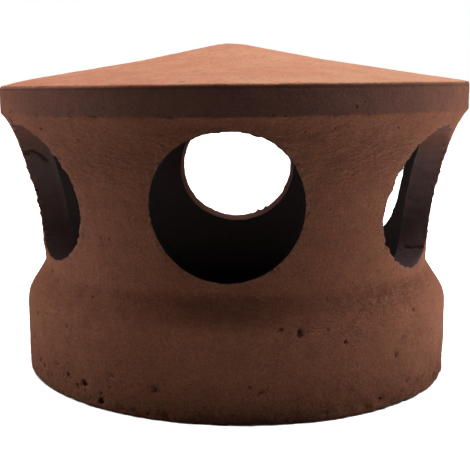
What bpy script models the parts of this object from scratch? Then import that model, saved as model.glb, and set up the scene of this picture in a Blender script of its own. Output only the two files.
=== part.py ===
"""Terracotta roof vent lantern, one hollow fired piece.

A straight socket, a sloping shoulder and a flared neck carry an upright rim band and a low cap. Six
round holes go through the neck, and the foot is open. Metres, +Z up: the foot stands on z = 0, and
the middle of the rim is over the origin.
"""
import math

import bpy
from mathutils import Vector
from mathutils.geometry import intersect_line_line_2d

# Sizes of the turned body, in metres

SOCKET_BORE_RADIUS = 0.0890  # inside of the foot, which goes over a vent's collar
WALL = 0.0128                # thickness of the clay, square to its surface
SHOULDER_STEP = 0.0092       # how far the socket stands out beyond the waist
RIM_OVERHANG = 0.0174        # how far the rim stands out beyond the waist
WAIST_HEIGHT = 0.0502        # foot to the crease under the neck
SHOULDER_DROP = 0.0142       # height of the sloping shoulder
NECK_HEIGHT = 0.0717         # crease to the lower edge of the band
BAND_HEIGHT = 0.0122         # lower to upper edge of the band
CAP_SKIRT_RISE = 0.0105      # upper edge of the band to the bend in the cap
CAP_BEND_RADIUS = 0.0450     # where the cap turns a little steeper
CAP_TIP_RISE = 0.0093        # bend in the cap to its tip, before the tip is rounded

# Curve of the neck: how far it follows each end's direction, as shares of its height

NECK_TOP_ANGLE = math.radians(41.5)  # from upright, where the neck meets the band
NECK_FOOT_REACH = 0.41
NECK_TOP_REACH = 0.17

# Rounded edges

TIP_ROUND = 0.0400
RIM_ROUND = 0.0022
CREASE_ROUND = 0.0030
SHOULDER_ROUND = 0.0128

# The holes, cut by hand: each row is one hole's turn in degrees, its rise and its extra radius

HOLE_COUNT = 6
HOLE_MARGIN = 0.00535        # clay left between a hole and either end of the neck
HOLE_TURN = math.radians(-1.0)
HAND_DRIFT = (
    (-0.9, 0.0005, 0.0000),
    (-0.2, -0.0018, 0.0006),
    (0.0, 0.0000, 0.0000),
    (0.1, 0.0016, 0.0004),
    (0.0, 0.0000, 0.0000),
    (0.1, 0.0013, -0.0001),
)

# The body dried with a slight lean, and its foot was cut level

LEAN = math.radians(1.15)
FOOT_ALLOWANCE = 0.0060      # clay below the level cut
CUTTER_CLEARANCE = 0.0100    # how far a cutter reaches beyond what it cuts

# Facets

TURN_FACETS = 96
HOLE_FACETS = 56
NECK_FACETS = 9
ROUND_FACETS = 3
SHARP_ANGLE = math.radians(32)

# What follows from the sizes above

SOCKET_RADIUS = SOCKET_BORE_RADIUS + WALL
WAIST_RADIUS = SOCKET_RADIUS - SHOULDER_STEP
RIM_RADIUS = WAIST_RADIUS + RIM_OVERHANG
BAND_FOOT = WAIST_HEIGHT + NECK_HEIGHT
RIM_HEIGHT = BAND_FOOT + BAND_HEIGHT
BEND_HEIGHT = RIM_HEIGHT + CAP_SKIRT_RISE
TIP_HEIGHT = BEND_HEIGHT + CAP_TIP_RISE
HOLE_HEIGHT = WAIST_HEIGHT + NECK_HEIGHT / 2
HOLE_RADIUS = NECK_HEIGHT / 2 - HOLE_MARGIN


def clear_scene():
    for item in list(bpy.data.objects):
        bpy.data.objects.remove(item, do_unlink=True)


def terracotta():
    material = bpy.data.materials.new("terracotta")
    material.use_nodes = True
    shader = material.node_tree.nodes["Principled BSDF"]
    shader.inputs["Base Color"].default_value = (0.50, 0.23, 0.14, 1.0)
    shader.inputs["Roughness"].default_value = 0.85
    shader.inputs["Metallic"].default_value = 0.0
    return material


# Outlines are lists of (radius, height) points

def rounded(before, corner, after, radius):
    """The points of a round that takes the place of a corner."""
    back = (before - corner).normalized()
    onward = (after - corner).normalized()
    half = back.angle(onward) / 2
    centre = corner + (back + onward).normalized() * (radius / math.sin(half))
    setback = radius / math.tan(half)
    start = (corner + back * setback - centre).normalized()
    end = (corner + onward * setback - centre).normalized()
    shares = [step / ROUND_FACETS for step in range(ROUND_FACETS + 1)]
    return [centre + start.slerp(end, share) * radius for share in shares]


def neck_curve():
    """The neck from its crease up to the band, upright at first and then flaring out."""
    foot = Vector((WAIST_RADIUS, WAIST_HEIGHT))
    top = Vector((RIM_RADIUS, BAND_FOOT))
    top_way = Vector((math.sin(NECK_TOP_ANGLE), math.cos(NECK_TOP_ANGLE)))
    foot_handle = foot + Vector((0, NECK_HEIGHT * NECK_FOOT_REACH))
    top_handle = top - top_way * NECK_HEIGHT * NECK_TOP_REACH
    points = []
    for step in range(NECK_FACETS + 1):
        t = step / NECK_FACETS
        s = 1 - t
        points.append(s**3 * foot + 3 * s * s * t * foot_handle + 3 * s * t * t * top_handle + t**3 * top)
    return points


def inset(outline, distance):
    """The outline moved to its left by a distance, with its corners mitred."""
    ways = [(b - a).normalized() for a, b in zip(outline, outline[1:])]
    lefts = [Vector((-way.y, way.x)) for way in ways]
    moved = []
    for point, before, after in zip(outline, lefts[:1] + lefts, lefts + lefts[-1:]):
        moved.append(point + (before + after) * (distance / (1 + before.dot(after))))
    return moved


def joined(first, second):
    """The first outline up to where it crosses the second, and the second from there on."""
    for i in range(len(first) - 1):
        for j in range(len(second) - 1):
            meeting = intersect_line_line_2d(first[i], first[i + 1], second[j], second[j + 1])
            if meeting:
                return first[: i + 1] + [meeting] + second[j + 1:]
    raise ValueError("the neck's inside doesn't reach the ceiling")


def outer_outline():
    """From the tip of the cap down the outside to the foot."""
    tip = Vector((0, TIP_HEIGHT))
    bend = Vector((CAP_BEND_RADIUS, BEND_HEIGHT))
    other_bend = Vector((-CAP_BEND_RADIUS, BEND_HEIGHT))
    rim = Vector((RIM_RADIUS, RIM_HEIGHT))
    crease = Vector((WAIST_RADIUS, WAIST_HEIGHT))
    shoulder = Vector((SOCKET_RADIUS, WAIST_HEIGHT - SHOULDER_DROP))
    foot = Vector((SOCKET_RADIUS, -FOOT_ALLOWANCE))
    neck = neck_curve()[::-1]

    whole_tip = rounded(other_bend, tip, bend, TIP_ROUND)
    top = Vector((0, max(point.y for point in whole_tip)))
    cap = [top] + [point for point in whole_tip if point.x > TIP_ROUND / TURN_FACETS] + [bend]
    band = rounded(bend, rim, neck[0], RIM_ROUND)
    waist = rounded(neck[-2], crease, shoulder, CREASE_ROUND)
    socket = rounded(crease, shoulder, foot, SHOULDER_ROUND) + [foot]
    return cap + band + neck[:-1] + waist + socket


def inner_outline():
    """From the foot up the inside to the middle of the ceiling."""
    foot = Vector((SOCKET_RADIUS, -FOOT_ALLOWANCE))
    shoulder = Vector((SOCKET_RADIUS, WAIST_HEIGHT - SHOULDER_DROP))
    wall = inset([foot, shoulder] + neck_curve(), WALL)
    rim = Vector((RIM_RADIUS, RIM_HEIGHT))
    bend = Vector((CAP_BEND_RADIUS, BEND_HEIGHT))
    ceiling = inset([rim, bend, Vector((0, TIP_HEIGHT))], WALL)
    outline = joined(wall, ceiling)
    outline[-1].x = 0
    return outline


def turned_body(axis):
    """The hollow body: one outline, turned once around the axis."""
    outline = outer_outline() + inner_outline()
    mesh = bpy.data.meshes.new("vent_lantern")
    edges = [(i, i + 1) for i in range(len(outline) - 1)]
    mesh.from_pydata([(point.x, 0, point.y - RIM_HEIGHT) for point in outline], edges, [])
    body = bpy.data.objects.new("vent_lantern", mesh)
    bpy.context.scene.collection.objects.link(body)
    body.parent = axis
    turn = body.modifiers.new("turn", "SCREW")
    turn.steps = TURN_FACETS
    turn.render_steps = TURN_FACETS
    turn.use_merge_vertices = True
    turn.merge_threshold = 0.00005
    return body


def cut(body, cutter):
    cutter.hide_render = True
    cutter.display_type = "WIRE"
    boolean = body.modifiers.new("cut " + cutter.name, "BOOLEAN")
    boolean.operation = "DIFFERENCE"
    boolean.solver = "EXACT"
    boolean.object = cutter


def cut_holes(body, axis):
    """Level round holes, each on its own radius through the wall only."""
    near = (WAIST_RADIUS - WALL) / 2
    far = RIM_RADIUS + CUTTER_CLEARANCE
    for index in range(HOLE_COUNT):
        turn, rise, extra = HAND_DRIFT[index % len(HAND_DRIFT)]
        bearing = HOLE_TURN + math.radians(turn) + math.tau * index / HOLE_COUNT
        middle = (near + far) / 2
        bpy.ops.mesh.primitive_cylinder_add(
            vertices=HOLE_FACETS,
            radius=HOLE_RADIUS + extra,
            depth=far - near,
            location=(math.sin(bearing) * middle, -math.cos(bearing) * middle,
                      HOLE_HEIGHT + rise - RIM_HEIGHT),
            rotation=(math.pi / 2, 0, bearing),
        )
        cutter = bpy.context.object
        cutter.name = "hole_cutter_%d" % (index + 1)
        cutter.parent = axis
        cut(body, cutter)


def cut_foot(body):
    """The level cut that the lantern stands on."""
    side = 2 * (RIM_RADIUS + CUTTER_CLEARANCE)
    depth = 2 * FOOT_ALLOWANCE + CUTTER_CLEARANCE
    bpy.ops.mesh.primitive_cube_add(size=1, location=(0, 0, -depth / 2))
    cutter = bpy.context.object
    cutter.name = "foot_cutter"
    for vertex in cutter.data.vertices:
        vertex.co = (vertex.co.x * side, vertex.co.y * side, vertex.co.z * depth)
    cut(body, cutter)


def keep_cut_shape(body):
    """Bake the cuts into the mesh, smooth over its facets and sharp at its edges."""
    graph = bpy.context.evaluated_depsgraph_get()
    mesh = bpy.data.meshes.new_from_object(body.evaluated_get(graph))
    cutters = [modifier.object for modifier in body.modifiers if modifier.type == "BOOLEAN"]
    body.modifiers.clear()
    for cutter in cutters:
        bpy.data.objects.remove(cutter, do_unlink=True)
    body.data = mesh
    mesh.shade_smooth()
    mesh.set_sharp_from_angle(angle=SHARP_ANGLE)
    mesh.materials.clear()
    mesh.materials.append(terracotta())


def build():
    clear_scene()
    axis = bpy.data.objects.new("leaning_axis", None)
    bpy.context.scene.collection.objects.link(axis)
    axis.location = (0, 0, RIM_HEIGHT)
    axis.rotation_euler = (0, -LEAN, 0)
    body = turned_body(axis)
    cut_holes(body, axis)
    cut_foot(body)
    keep_cut_shape(body)


build()
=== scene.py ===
"""Looks of a terracotta roof vent lantern: the fired clay body in fine mesh, its clay, light and camera.

Metres, +Z up. The body is turned around its own axis first, in a frame whose foot is at height 0, and
is then leaned about the middle of its rim, as it stands. A bearing is measured around the axis from
the side that faces the camera (-Y), growing towards the viewer's right (+X).
"""
import math
import random

import bmesh
import bpy
import numpy as np
from mathutils import Matrix, Vector, noise


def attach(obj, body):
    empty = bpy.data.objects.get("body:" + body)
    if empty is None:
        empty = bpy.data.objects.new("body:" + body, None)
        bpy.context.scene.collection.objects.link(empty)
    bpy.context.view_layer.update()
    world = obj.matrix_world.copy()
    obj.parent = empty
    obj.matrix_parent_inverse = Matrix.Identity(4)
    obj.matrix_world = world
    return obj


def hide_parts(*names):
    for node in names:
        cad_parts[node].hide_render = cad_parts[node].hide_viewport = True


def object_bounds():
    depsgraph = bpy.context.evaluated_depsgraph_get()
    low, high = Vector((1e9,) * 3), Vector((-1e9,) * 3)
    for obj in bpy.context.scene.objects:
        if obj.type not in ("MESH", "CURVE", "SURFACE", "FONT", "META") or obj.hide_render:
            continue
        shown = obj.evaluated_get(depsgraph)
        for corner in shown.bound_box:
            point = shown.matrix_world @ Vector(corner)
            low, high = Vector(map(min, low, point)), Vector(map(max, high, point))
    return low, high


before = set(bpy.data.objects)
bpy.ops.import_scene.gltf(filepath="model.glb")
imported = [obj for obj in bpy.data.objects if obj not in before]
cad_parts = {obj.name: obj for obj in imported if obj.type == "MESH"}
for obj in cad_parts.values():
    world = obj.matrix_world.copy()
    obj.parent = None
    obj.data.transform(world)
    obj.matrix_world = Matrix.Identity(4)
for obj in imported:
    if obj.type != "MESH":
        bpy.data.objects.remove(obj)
cad_box = [list(corner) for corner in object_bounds()]

MM = 0.001

# Sizes of the turned body, as in its solid

SOCKET_BORE_RADIUS = 89.0 * MM
WALL = 12.8 * MM
SHOULDER_STEP = 9.2 * MM
RIM_OVERHANG = 17.4 * MM
WAIST_HEIGHT = 50.2 * MM
SHOULDER_DROP = 14.2 * MM
NECK_HEIGHT = 71.7 * MM
BAND_HEIGHT = 12.2 * MM
CAP_SKIRT_RISE = 10.5 * MM
CAP_BEND_RADIUS = 45.0 * MM
CAP_TIP_RISE = 9.3 * MM
NECK_TOP_ANGLE = math.radians(41.5)
NECK_FOOT_REACH = 0.41
NECK_TOP_REACH = 0.17
TIP_ROUND = 40.0 * MM
SHOULDER_ROUND = 12.8 * MM
LEAN = math.radians(1.15)

SOCKET_RADIUS = SOCKET_BORE_RADIUS + WALL
WAIST_RADIUS = SOCKET_RADIUS - SHOULDER_STEP
RIM_RADIUS = WAIST_RADIUS + RIM_OVERHANG
BAND_FOOT = WAIST_HEIGHT + NECK_HEIGHT
RIM_HEIGHT = BAND_FOOT + BAND_HEIGHT
BEND_HEIGHT = RIM_HEIGHT + CAP_SKIRT_RISE
TIP_HEIGHT = BEND_HEIGHT + CAP_TIP_RISE

# Rounded edges, a little different from the solid's or sharp there

RIM_ROUND = 1.0 * MM
BAND_FOOT_ROUND = 0.5 * MM
CREASE_ROUND = 5.0 * MM
FOOT_ROUND = 1.5 * MM
CEILING_ROUND = 6.0 * MM
INNER_SHOULDER_ROUND = 3 * MM
INNER_CREASE_ROUND = 6 * MM

# The holes: each row is one hole's turn in degrees, its rise and its extra radius

HOLE_COUNT = 6
HOLE_MARGIN = 5.35 * MM
HOLE_RADIUS = NECK_HEIGHT / 2 - HOLE_MARGIN
HOLE_HEIGHT = WAIST_HEIGHT + NECK_HEIGHT / 2
HOLE_TURN = -1.0
HAND_DRIFT = (
    (-0.9, 0.5 * MM, 0.0), (-0.2, -1.8 * MM, 0.6 * MM), (0.0, 0.0, 0.0),
    (0.1, 1.6 * MM, 0.4 * MM), (0.0, 0.0, 0.0), (0.1, 1.3 * MM, -0.1 * MM),
)
HOLES = [
    (math.radians(HOLE_TURN + turn + 360 / HOLE_COUNT * index), HOLE_HEIGHT + rise, HOLE_RADIUS + extra)
    for index, (turn, rise, extra) in enumerate(HAND_DRIFT)
]

# How much painted shadow and how much painted grey shade each hole's cut face gets, and how much wider the
# hole is at its inner end
CUT_SHADOW = (0.985, 0.0, 0.0, 0.08, 0.0, 0.12)
CUT_SHADE_GREYS = (1.0, 1.0, 0.6, 0.15, 0.6, 1.0)
CUT_FLARES = (0.0, 0.0, 0.5 * MM, 1.2 * MM, 0.2 * MM, 0.0)

# Where a hand-cut hole strays from its circle: which hole, the angle around it, half the width of the
# stray in degrees, and how far the clay reaches inwards
STRAYS = (
    (0, 104, 26, 0.8 * MM), (1, 165, 22, 2.0 * MM), (2, 180, 35, -2.2 * MM), (4, 0, 35, 1.6 * MM),
    (3, 60, 30, 0.6 * MM), (5, 200, 20, 0.5 * MM), (3, 320, 30, -0.7 * MM), (3, 0, 30, -0.5 * MM),
    (0, 50, 14, -0.6 * MM),
)

# Fineness of the mesh

NECK_STEPS = 240
ROUND_STEPS = 6
TIP_STEPS = 16
RIM_STEPS = 8
SECTOR_COLUMNS = 52  # columns between one clay post's middle and the next
POST_ROWS = 44  # rows up the middle of a post
OUTER_LAYERS = 14  # rings around a hole on the outside
INNER_LAYERS = 4
EDGE_LAYERS = 4  # rings over a hole's softened edge
CUT_LAYERS = 10  # rings through the wall
RING_CROWDING = 0.85  # under 1, so that the rings lie closer together near the hole
OUTER_SOFTNESS = 0.5 * MM
INNER_SOFTNESS = 0.35 * MM
CAP_ROW_STEP = 2.7 * MM
NEAR_RIM_REACH = 1.0 * MM
NEAR_RIM_STEP = 0.7 * MM
RIM_STEP = 0.35 * MM
BAND_EDGE_REACH = 1.5 * MM
BAND_EDGE_STEP = 0.3 * MM
BAND_STEP = 1.1 * MM
CREASE_STEP = 1.3 * MM
SOCKET_ROW_STEP = 1.6 * MM
FOOT_ROUND_STEPS = 5
FOOT_FLAT_ROWS = 6
INNER_ROW_STEP = 5.0 * MM
INNER_CREASE_STEP = 2 * MM
PATCH_MARGIN = 0.6 * MM  # how far the hole patches reach below the start of the crease
TINY = 1e-6


# Outlines: lists of (radius, height)

def rounded(before, corner, after, radius, steps=ROUND_STEPS):
    """The points of a round that takes the place of a corner."""
    back = (before - corner).normalized()
    onward = (after - corner).normalized()
    half = back.angle(onward) / 2
    centre = corner + (back + onward).normalized() * (radius / math.sin(half))
    setback = radius / math.tan(half)
    start = (corner + back * setback - centre).normalized()
    end = (corner + onward * setback - centre).normalized()
    return [centre + start.slerp(end, step / steps) * radius for step in range(steps + 1)]


def neck_curve():
    """The neck from its crease up to the band, upright at first and then flaring out."""
    foot = Vector((WAIST_RADIUS, WAIST_HEIGHT))
    top = Vector((RIM_RADIUS, BAND_FOOT))
    way = Vector((math.sin(NECK_TOP_ANGLE), math.cos(NECK_TOP_ANGLE)))
    foot_handle = foot + Vector((0, NECK_HEIGHT * NECK_FOOT_REACH))
    top_handle = top - way * NECK_HEIGHT * NECK_TOP_REACH
    points = []
    for step in range(NECK_STEPS + 1):
        t = step / NECK_STEPS
        s = 1 - t
        points.append(s**3 * foot + 3 * s * s * t * foot_handle + 3 * s * t * t * top_handle + t**3 * top)
    return points


def inset(outline, distance):
    """The outline moved to its left by a distance, with its corners mitred."""
    ways = [(b - a).normalized() for a, b in zip(outline, outline[1:])]
    lefts = [Vector((-way.y, way.x)) for way in ways]
    moved = []
    for point, before, after in zip(outline, lefts[:1] + lefts, lefts + lefts[-1:]):
        moved.append(point + (before + after) * (distance / (1 + before.dot(after))))
    return moved


def spaced(outline, step):
    """The outline's points about a step apart, its ends kept."""
    line = np.array([tuple(point) for point in outline])
    along = np.concatenate([[0], np.cumsum(np.linalg.norm(np.diff(line, axis=0), axis=1))])
    count = max(2, int(round(along[-1] / step)) + 1)
    at = np.linspace(0, along[-1], count)
    return np.stack([np.interp(at, along, line[:, 0]), np.interp(at, along, line[:, 1])], -1)


NECK = neck_curve()
CREASE = Vector((WAIST_RADIUS, WAIST_HEIGHT))
SHOULDER = Vector((SOCKET_RADIUS, WAIST_HEIGHT - SHOULDER_DROP))
SOCKET_FOOT = Vector((SOCKET_RADIUS, 0))
RIM = Vector((RIM_RADIUS, RIM_HEIGHT))
BEND = Vector((CAP_BEND_RADIUS, BEND_HEIGHT))
TIP = Vector((0, TIP_HEIGHT))

# A round where the curved neck ends takes the neck's direction this many of its steps away
BAND_FOOT_LOOK = 20
CREASE_LOOK = 40
CEILING_LOOK = 30
INNER_CREASE_LOOK = 60

# The outside from the band's foot to the foot of the socket, read as radius by height
BAND_CORNER = rounded(RIM, NECK[-1], NECK[-BAND_FOOT_LOOK], BAND_FOOT_ROUND)
CREASE_CURVE = rounded(NECK[CREASE_LOOK], CREASE, SHOULDER, CREASE_ROUND)
SHOULDER_CURVE = rounded(CREASE, SHOULDER, SOCKET_FOOT, SHOULDER_ROUND)
PATCH_TOP = BAND_CORNER[-1].y
PATCH_FOOT = CREASE_CURVE[0].y - PATCH_MARGIN
OUTSIDE = (
    BAND_CORNER
    + [point for point in NECK[::-1] if CREASE_CURVE[0].y < point.y < BAND_CORNER[-1].y]
    + CREASE_CURVE + SHOULDER_CURVE + [SOCKET_FOOT]
)
OUTSIDE_HEIGHTS = np.array([point.y for point in OUTSIDE])[::-1]
OUTSIDE_RADII = np.array([point.x for point in OUTSIDE])[::-1]


def outside_radius(height):
    return np.interp(height, OUTSIDE_HEIGHTS, OUTSIDE_RADII)


# The inside, the same way, up to a rounded corner under the ceiling
INNER_WALL = inset([SOCKET_FOOT, SHOULDER] + NECK, WALL)
CEILING = inset([RIM, BEND, TIP], WALL)


def ceiling_height(radius):
    outward = CEILING[::-1]
    return float(np.interp(radius, [point.x for point in outward], [point.y for point in outward]))


UNDER = [point for point in INNER_WALL if point.y < ceiling_height(point.x)]
CEILING_CORNER = rounded(UNDER[-CEILING_LOOK], UNDER[-1], CEILING[1], CEILING_ROUND)
INNER_CREASE = (
    rounded(INNER_WALL[0], INNER_WALL[1], INNER_WALL[2], INNER_SHOULDER_ROUND)
    + rounded(INNER_WALL[1], INNER_WALL[2], INNER_WALL[INNER_CREASE_LOOK], INNER_CREASE_ROUND)
)
INNER_PATCH_TOP = CEILING_CORNER[0].y
INNER_PATCH_FOOT = INNER_CREASE[-1].y
INSIDE = (
    [INNER_WALL[0]] + INNER_CREASE
    + [point for point in UNDER if INNER_PATCH_FOOT < point.y < INNER_PATCH_TOP]
)
INSIDE_HEIGHTS = np.array([point.y for point in INSIDE])
INSIDE_RADII = np.array([point.x for point in INSIDE])


def inside_radius(height):
    return np.interp(height, INSIDE_HEIGHTS, INSIDE_RADII)


# Bearings of the columns: a sector runs from the middle of one clay post to the next

BEARINGS = [hole[0] for hole in HOLES]
POSTS = [
    (BEARINGS[index - 1] - (math.tau if index == 0 else 0) + BEARINGS[index]) / 2
    for index in range(HOLE_COUNT)
]
POSTS.append(POSTS[0] + math.tau)
COLUMNS = np.concatenate([
    np.linspace(POSTS[index], POSTS[index + 1], SECTOR_COLUMNS + 1)[:-1] for index in range(HOLE_COUNT)
])


# What each point carries, each from 0 to 1: being on the outside, on a cut face, at a hole's outer or
# inner edge, deep inside or on the rim band, where painted shade goes, and how much painted shadow and
# painted grey shade a cut face gets there
TAGS = ("outside", "cut", "outer_edge", "inner_edge", "inside", "band", "soot", "grey")


def tag(**values):
    return [values.get(name, 0) for name in TAGS]


def tagged(tags, name):
    """One tag's column, as a view that can be changed in place."""
    return tags[..., TAGS.index(name)]


OUTSIDE_TAG = tag(outside=1)
BAND_TAG = tag(outside=1, band=1)
INSIDE_TAG = tag(inside=1)


def turned(radii, heights):
    """Points of rows turned around the axis. Heights may differ from column to column."""
    radii = np.asarray(radii, float).reshape(len(radii), -1)
    heights = np.asarray(heights, float).reshape(len(heights), -1)
    shape = (len(radii), len(COLUMNS))
    radii = np.broadcast_to(radii, shape)
    heights = np.broadcast_to(heights, shape)
    return np.stack([radii * np.sin(COLUMNS), -radii * np.cos(COLUMNS), heights], -1)


class Shell:
    """Vertices with their tags, and quads, gathered patch by patch."""

    def __init__(self):
        self.points = []
        self.tags = []
        self.faces = []
        self.count = 0

    def add(self, points, tags):
        """A grid of rows by columns, closed around, with one number a point for each name in TAGS."""
        rows, columns = points.shape[:2]
        tags = np.broadcast_to(np.asarray(tags, float), (rows, columns, len(TAGS)))
        self.points.append(points.reshape(-1, 3))
        self.tags.append(tags.reshape(-1, len(TAGS)))
        for row in range(rows - 1):
            for column in range(columns):
                onward = (column + 1) % columns
                first = self.count + row * columns
                second = first + columns
                self.faces.append((first + column, first + onward, second + onward, second + column))
        self.count += rows * columns

    def add_turned(self, outline, tags):
        """An outline, as rows of (radius, height), turned around the axis."""
        self.add(turned(outline[:, 0], outline[:, 1]), tags)


def level_cut(radius):
    """Height along the axis, column by column, of the level cut that the leaning body stands on."""
    across = radius * np.sin(COLUMNS)
    return RIM_HEIGHT - (RIM_HEIGHT + across * math.sin(LEAN)) / math.cos(LEAN)


def add_cap_and_band(shell):
    other_bend = Vector((-BEND.x, BEND.y))
    whole_tip = rounded(other_bend, TIP, BEND, TIP_ROUND, TIP_STEPS)
    tip = [point for point in whole_tip if point.x >= -TINY]
    rim = rounded(BEND, RIM, NECK[-1], RIM_ROUND)
    rows = spaced(tip + [BEND] + rim + BAND_CORNER, CAP_ROW_STEP)
    rows[0, 0] = 0

    # The rows come closer together towards the rim's round edge
    fine = spaced(rounded(BEND, RIM, NECK[-1], RIM_ROUND, RIM_STEPS), RIM_STEP)
    start = np.searchsorted(rows[:, 0], fine[0, 0] - NEAR_RIM_REACH)
    near = spaced([Vector(rows[start - 1]), Vector(fine[0])], NEAR_RIM_STEP)
    shell.add_turned(np.concatenate([rows[:start], near[1:], fine[1:]]), OUTSIDE_TAG)

    top = rim[-1]
    under = top + Vector((0, -BAND_EDGE_REACH))
    upper = spaced([top, under], BAND_EDGE_STEP)
    lower = spaced([under, BAND_CORNER[0]], BAND_STEP)
    shell.add_turned(np.concatenate([upper[:-1], lower]), BAND_TAG)
    shell.add_turned(spaced(BAND_CORNER, BAND_EDGE_STEP), OUTSIDE_TAG)


def add_shoulder_and_socket(shell):
    above = [Vector((outside_radius(PATCH_FOOT), PATCH_FOOT))]
    shell.add_turned(spaced(above + CREASE_CURVE[1:] + SHOULDER_CURVE, CREASE_STEP), OUTSIDE_TAG)
    top = SHOULDER_CURVE[-1].y
    arris = level_cut(SOCKET_RADIUS) + FOOT_ROUND
    count = int(round(top / SOCKET_ROW_STEP))
    shares = np.linspace(0, 1, count + 1)[:, None]
    shell.add(turned(np.full(count + 1, SOCKET_RADIUS), top + (arris - top) * shares), OUTSIDE_TAG)


def add_foot(shell):
    """The flat ring that the lantern stands on, with a round edge to either side."""
    turns = np.linspace(0, math.pi / 2, FOOT_ROUND_STEPS + 1)
    radii = [SOCKET_RADIUS - FOOT_ROUND * (1 - math.cos(turn)) for turn in turns]
    heights = [
        level_cut(radius) + FOOT_ROUND * (1 - math.sin(turn)) for radius, turn in zip(radii, turns)
    ]
    heights[0] = level_cut(SOCKET_RADIUS) + FOOT_ROUND
    flat = np.linspace(SOCKET_RADIUS - FOOT_ROUND, SOCKET_BORE_RADIUS + FOOT_ROUND, FOOT_FLAT_ROWS)[1:]
    radii += list(flat)
    heights += [level_cut(radius) for radius in flat]
    for turn in turns[::-1][1:]:
        radii.append(SOCKET_BORE_RADIUS + FOOT_ROUND * (1 - math.cos(turn)))
        heights.append(level_cut(radii[-1]) + FOOT_ROUND * (1 - math.sin(turn)))

    # The clay darkens to the inside's over the inner round edge
    rows = np.arange(len(radii)) - (len(radii) - FOOT_ROUND_STEPS)
    inward = np.clip(rows / (FOOT_ROUND_STEPS - 1), 0, 1)[:, None, None]
    tags = np.array(OUTSIDE_TAG) * (1 - inward) + np.array(INSIDE_TAG) * inward
    shell.add(turned(radii, heights), tags)


def add_inside(shell):
    start = level_cut(SOCKET_BORE_RADIUS) + FOOT_ROUND
    top = INNER_CREASE[0].y
    count = int(round(top / INNER_ROW_STEP))
    shares = np.linspace(0, 1, count + 1)[:, None]
    shell.add(turned(np.full(count + 1, SOCKET_BORE_RADIUS), start + (top - start) * shares), INSIDE_TAG)
    shell.add_turned(spaced(INNER_CREASE, INNER_CREASE_STEP), INSIDE_TAG)
    ceiling = spaced(CEILING_CORNER + [CEILING[1], Vector((0, CEILING[2].y))], INNER_ROW_STEP)
    ceiling[-1, 0] = 0
    shell.add_turned(ceiling, INSIDE_TAG)


# A hole's outer edge is worn over the last quarter of the rings outside and a fifth of the wall, and
# its inner edge over the last fifth of the wall. Its top gets less painted grey shade
OUTSIDE_WEAR = 4
WALL_WEAR = 5
CUT_SHADOW_RISE = 2
TOP_REDNESS = 0.75
TOP_FROM = 0.35
TOP_FADE = 2.5

# Shares of the way over a softened edge, and through the wall between the two edges
OVER = np.linspace(0, 1, EDGE_LAYERS + 1)
THROUGH = np.linspace(0, 1, CUT_LAYERS + 1)[1:-1]


def late(share, part):
    """0 at first, and rising to 1 over the last part of the way: 4 is the last quarter."""
    return max(0.0, share * part - (part - 1))


def hole_tags(index, angle):
    """The tags of a hole's patch, ring by ring from its border outside to its border inside."""
    soot, grey = CUT_SHADOW[index], CUT_SHADE_GREYS[index]
    tags = [
        tag(outside=1, outer_edge=late(ring / OUTER_LAYERS, OUTSIDE_WEAR)) for ring in range(OUTER_LAYERS)
    ]
    for share in OVER:
        tags.append(tag(outside=1, cut=share, outer_edge=1,
                        soot=soot * min(1, share * CUT_SHADOW_RISE), grey=grey * share))
    for share in THROUGH:
        tags.append(tag(outside=1 - share, cut=1, outer_edge=max(0.0, 1 - share * WALL_WEAR),
                        inner_edge=late(share, WALL_WEAR), soot=soot, grey=grey))
    for share in OVER:
        tags.append(tag(cut=1, inner_edge=1, inside=share, soot=soot, grey=grey))
    tags += [INSIDE_TAG] * INNER_LAYERS
    tags = np.repeat(np.array(tags, float)[:, None, :], len(angle), axis=1)
    grey_tags = tagged(tags, "grey")
    grey_tags *= 1 - TOP_REDNESS * np.clip((np.sin(angle) - TOP_FROM) * TOP_FADE, 0, 1)
    return tags


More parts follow.
